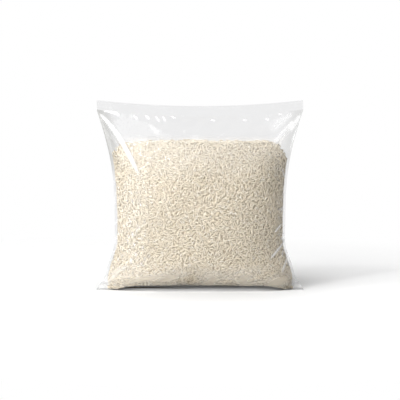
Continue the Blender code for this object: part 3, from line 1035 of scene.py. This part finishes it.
# grains on a level patch, the top of the rice or its base, inside the outline that fits there
def patchGrains(heightAt, depthAt, halfLength, layers, seed, upwards):
    area = math.pi / 4 * np.mean(rice["length"]) * np.mean(rice["width"])
    found = []
    for layer, inset in enumerate(layers):
        pull = np.random.default_rng(seed + 50 * layer)
        width, depth = 2 * halfLength, rice["patchDepth"]
        count = int(rice["cover"][layer] * width * depth / area)
        centre, turn, size = packGrains(width, depth, count, seed + layer, False)
        centre -= [halfLength, depth / 2]
        tilt = pull.normal(0, rice["tilt"], len(centre))
        axis = np.stack([np.cos(turn) * np.cos(tilt), np.sin(turn) * np.cos(tilt), np.sin(tilt)], axis=1)
        reach = (axis[:, :2] * grainLength(size)[:, None])[:, None]
        tips = centre[:, None] + np.array([-0.5, 0.5])[None, :, None] * reach
        reach = np.abs(tips[..., 1] - yShift) / np.maximum(depthAt(tips[..., 0]), 1e-4)
        keep = (reach.max(axis=1) < 1) & (np.abs(tips[..., 0]).max(axis=1) < halfLength)
        z = heightAt(centre[:, 0], centre[:, 1]) + (-inset if upwards else inset)
        middle = np.column_stack([centre, z + pull.normal(0, 0.0003, len(centre))])
        normal = np.tile([0.0, 0.0, 1.0 if upwards else -1.0], (len(centre), 1))
        found.append([values[keep] for values in (middle, axis, normal, size)])
    return [np.concatenate(parts) for parts in zip(*found)]


# half depth of the rice at a place across, read from one height of the filled wall
def depthAtLevel(level, inset):
    across = np.linspace(-1, 1, 401)[None, :]
    x, depth, _ = panelSurface(across, np.zeros_like(across), np.array([[level]]), 0)
    return lambda at: np.interp(at, x[0], np.maximum(depth[0] - inset, 0.0))


coreMesh = {
    "inset": 0.0027,
    "underTop": 0.0030,  # below the top of the rice
    "lowest": 0.0012,
    "lastRow": 0.004,
    "columns": 300,
    "rows": 120,
    "capRows": 10,
}


# the rice below the grains: the wall inset, closed by rows that run in to the middle line
def makeCore(wall):
    s = coreMesh
    topT = np.interp(rice["top"] - s["lastRow"], wall["grid"][:, :, 2].mean(axis=1), wall["height"])
    t = np.linspace(0.0002, topT, s["rows"])
    around = np.linspace(0, wall["girth"], s["columns"], endpoint=False)
    tt, ss = np.meshgrid(t, around, indexing="ij")
    inset = np.full(tt.size, s["inset"])
    points, _ = readWall(wall, ss.ravel(), tt.ravel(), inset)
    rings = points.reshape(s["rows"], s["columns"], 3)
    limit = riceTop(rings[..., 0], rings[..., 1]) - s["underTop"]
    rings[..., 2] = np.clip(rings[..., 2], s["lowest"], limit)
    share = np.linspace(0.04, 1, s["capRows"] + 1)[:-1, None]
    bottom, top = rings[0], rings[-1]

    def cap(ring, shares, z):
        x = ring[None, :, 0] + 0 * shares
        y = (ring[None, :, 1] - yShift) * shares + yShift
        return np.stack([x, y, z(x, y, ring[None, :, 2] + 0 * shares)], axis=-1)

    lower = cap(bottom, share, lambda x, y, z: z)
    upper = cap(top, share[::-1], lambda x, y, z: riceTop(x, y) - s["underTop"])
    allRings = np.concatenate([lower, rings, upper])
    faces = ringFaces(len(allRings), s["columns"])
    core = meshPiece("rice_core", allRings.reshape(-1, 3), faces, [riceCore])
    standIn(core)


# the core, the wall's grains in four pieces by side and end, and the grains of the top and the base
def makeRice():
    wall = riceWall()
    makeCore(wall)
    print("rice core made")
    middle, axis, normal, size = wallGrains(wall)
    isFront, isLeft = middle[:, 1] < yShift, middle[:, 0] < 0
    for name, mask in (
        ("rice_front_left", isFront & isLeft),
        ("rice_front_right", isFront & ~isLeft),
        ("rice_back_left", ~isFront & isLeft),
        ("rice_back_right", ~isFront & ~isLeft),
    ):
        makeGrains(name, [values[mask] for values in (middle, axis, normal, size)], len(name))
    topDepth = depthAtLevel(rice["top"] - 0.001, 0.0008)
    topGrains = patchGrains(riceTop, topDepth, 0.106, (0.0008, 0.0020), 300, True)
    makeGrains("rice_top", topGrains, 31)
    baseDepth = depthAtLevel(0.0, 0.0060)
    baseGrains = patchGrains(lambda x, y: baseLift(x, 0.0), baseDepth, 0.112, (0.0020, 0.0031), 400, False)
    makeGrains("rice_base", baseGrains, 32)


makeRice()
print("rice made")


studio = {
    "floor": 3.0,
    "whiteFrom": (0.28, 0.60),  # distances over which the floor turns plain white for the camera
    "floorLift": 0.14,
    "nearSize": (0.105, 0.090),  # half width and half depth of the shaded floor round the bag
    "liftFrom": (0.5, 2.2),  # in those halves
    "floorNear": 0.74,
    "floorShown": 0.88,
    "floorLit": 0.66,
    "floorMottle": (12.0, 3.0, 1.0),
    "floorRoughness": (0.75, 0.9),
    "lampAim": 0.11,
    "cameraWhite": 1.0,
    "ambient": 0.34,
    "key": (-42.0, 31.0, 1.9, 2.0, 2.0, 52.0),  # azimuth, elevation, distance, width, height, power
    "glint": (-40.0, 38.0, 2.0, 0.20, 0.20, 9.0),
    "fill": (25.0, 60.0, 2.2, 1.6, 1.6, 6.0),
    "side": (100.0, 6.0, 2.2, 1.2, 0.8, 2.6),
    "behind": (175.0, 35.0, 2.4, 1.6, 1.6, 5.0),
    # light that creeps under the arch: distances in front of the bag where it starts, is full, starts to
    # fade and is gone, its strength, and the distances to both sides over which it fades
    "underGlow": (-0.020, 0.014, 0.018, 0.044, 0.37, 0.060, 0.112),
}


# plain white floor: lit near the bag, and white for the camera further out, by distance; near the bag
# the camera sees painted shade, with a painted glow of light that creeps under the arch of the base
def makeFloor():
    s = studio
    half = s["floor"]
    points = np.array([(-half, -half, 0), (half, -half, 0), (half, half, 0), (-half, half, 0)], float)
    nodes = Nodes("floor_white")
    where = nodes.add("TexCoord").outputs["Object"]
    seen = nodes.add("LightPath").outputs["Is Camera Ray"]

    # for the camera only: a smooth step of the distance from the middle, in the given halves
    def ring(halfX, halfY, ends):
        flat = nodes.add("Mapping", {"Scale": (1 / halfX, 1 / halfY, 1.0), "Vector": where})
        away = nodes.add("VectorMath", {0: flat.outputs[0]}, operation="LENGTH").outputs["Value"]
        return nodes.math("MULTIPLY", nodes.ramp(away, ends, smooth=True), seen)

    near = ring(*s["nearSize"], s["liftFrom"])
    # painted shade: for the camera the floor's colour is darker near the bag
    shown = nodes.ramp(near, toRange=(s["floorNear"], s["floorShown"]))
    shade = nodes.add("Mix", {0: seen, 2: s["floorLit"], 3: shown}).outputs[0]
    rough = nodes.ramp(addMottle(nodes, where, *s["floorMottle"]), toRange=s["floorRoughness"])
    matte = {"Specular IOR Level": 0.1, "Base Color": shade, "Roughness": rough}
    plain = nodes.add("BsdfPrincipled", matte)
    split = nodes.add("SeparateXYZ", {0: where})
    ahead, aside = split.outputs["Y"], nodes.math("ABSOLUTE", split.outputs["X"])
    start, full, fading, gone, strength, sideFrom, sideTo = s["underGlow"]
    # painted light: a glow for the camera where light creeps under the arch
    front = nodes.math("MULTIPLY", seen, strength)
    for value, fromRange, toRange in (
        (ahead, (-full, -start), (1.0, 0.0)),
        (ahead, (-gone, -fading), (0.0, 1.0)),
        (aside, (sideFrom, sideTo), (1.0, 0.0)),
    ):
        front = nodes.math("MULTIPLY", front, nodes.ramp(value, fromRange, toRange, smooth=True))
    lift = nodes.math("ADD", nodes.math("MULTIPLY", near, s["floorLift"]), front)
    glow = nodes.add("Emission", {"Color": (1, 1, 1, 1), "Strength": lift})
    both = nodes.add("AddShader", {0: plain.outputs[0], 1: glow.outputs[0]})
    white = nodes.add("Emission", {"Color": (1, 1, 1, 1), "Strength": 1.0})
    far = ring(1.0, 1.0, s["whiteFrom"])
    surface = nodes.add("MixShader", {0: far, 1: both.outputs[0], 2: white.outputs[0]})
    floor = meshPiece("floor", points, np.array([[0, 1, 2, 3]]), [nodes.finish(surface.outputs[0])], False)


# white for the camera, and a weaker even light for everything else
def makeWorld():
    world = bpy.data.worlds.new("studio")
    bpy.context.scene.world = world
    world.use_nodes = True
    tree = world.node_tree
    tree.nodes.clear()
    out = tree.nodes.new("ShaderNodeOutputWorld")
    mix = tree.nodes.new("ShaderNodeMixShader")
    path = tree.nodes.new("ShaderNodeLightPath")
    for index, strength in ((1, studio["ambient"]), (2, studio["cameraWhite"])):
        back = tree.nodes.new("ShaderNodeBackground")
        back.inputs["Color"].default_value = (1, 1, 1, 1)
        back.inputs["Strength"].default_value = strength
        tree.links.new(back.outputs[0], mix.inputs[index])
    tree.links.new(path.outputs["Is Camera Ray"], mix.inputs[0])
    tree.links.new(mix.outputs[0], out.inputs["Surface"])


# a soft box aimed at the bag, placed by its direction and distance
def makeLight(name):
    azimuth, elevation, distance, width, height, power = studio[name]
    turn, up = math.radians(azimuth), math.radians(elevation)
    away = Vector((math.sin(turn) * math.cos(up), -math.cos(turn) * math.cos(up), math.sin(up)))
    light = bpy.data.lights.new(name, "AREA")
    light.shape, light.size, light.size_y, light.energy = "RECTANGLE", width, height, power
    lamp = bpy.data.objects.new(name, light)
    lamp.location = Vector((0, 0, studio["lampAim"])) + away * distance
    lamp.rotation_euler = away.to_track_quat("Z", "Y").to_euler()
    bpy.context.scene.collection.objects.link(lamp)


view = {"elevation": 5.0, "distance": 2.0, "target": (0.0, 0.0, 0.1082), "frameWidth": 0.484}


# a camera in front of the bag, raised by its elevation; its lens is the sensor's width times the
# distance over the width of the view
def makeCamera():
    camera = bpy.data.cameras.new("camera")
    camera.sensor_width = 36.0
    camera.lens = 36.0 * view["distance"] / view["frameWidth"]
    camera.clip_start, camera.clip_end = 0.05, 30.0
    seen = bpy.data.objects.new("camera", camera)
    up = math.radians(view["elevation"])
    target = Vector(view["target"])
    back = Vector((0, -math.cos(up), math.sin(up)))
    seen.location = target + back * view["distance"]
    seen.rotation_euler = (-back).to_track_quat("-Z", "Y").to_euler()
    bpy.context.scene.collection.objects.link(seen)
    bpy.context.scene.camera = seen


makeFloor()
makeWorld()
for lampName in ("key", "glint", "fill", "side", "behind"):
    makeLight(lampName)
makeCamera()
bpy.context.scene.view_settings.view_transform = "Standard"
bpy.context.scene.view_settings.look = "None"
print("floor, light and camera made")
